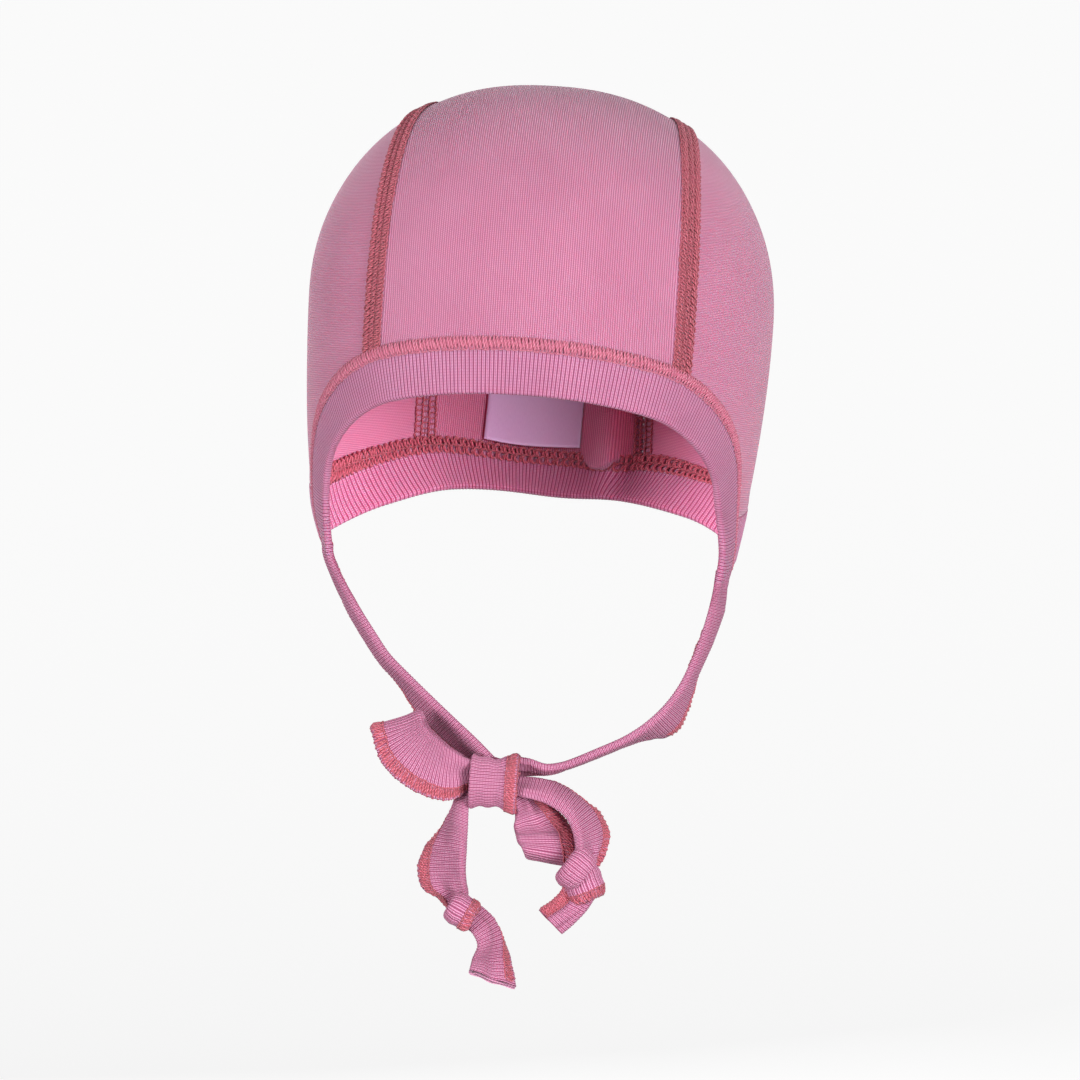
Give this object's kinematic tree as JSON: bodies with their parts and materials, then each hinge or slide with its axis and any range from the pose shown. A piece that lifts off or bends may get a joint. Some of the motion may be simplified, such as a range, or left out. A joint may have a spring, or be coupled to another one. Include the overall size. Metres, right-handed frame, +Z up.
{
  "type": "baby helmet hat with chin ties",
  "caption": "Fine-knit wool helmet hat for a baby, worn form, with rib face and neck bands and chin ties tied in a bow.",
  "frame": {"origin": "where the top of the head touches the inside of the crown, on the hat's middle line", "axes": "+Z up, the face opening looks towards -Y, +X is the wearer's left"},
  "size_m": [0.1347, 0.1543, 0.2559],
  "materials": {
    "jersey": "fine merino single jersey, matt with a soft bloom, mauve pink",
    "rib": "fine one by one rib folded double, matt, mauve pink",
    "thread": "soft textured seam thread, dusty brick rose",
    "label": "plain woven satin ribbon, pale lilac, unprinted"
  },
  "bodies": {
    "root": {"crown_center_panel": "jersey", "side_panel_left": "jersey", "side_panel_right": "jersey", "face_band": "rib", "neck_band": "rib", "neck_label": "label", "tie_left": "rib", "tie_right": "rib", "bow_knot": "rib", "bow_loop_left": "rib", "bow_loop_right": "rib", "tail_left": "rib", "tail_right": "rib", "tail_knot_left": "rib", "tail_knot_right": "rib", "tail_end_left": "rib", "tail_end_right": "rib"}
  },
  "joints": []
}
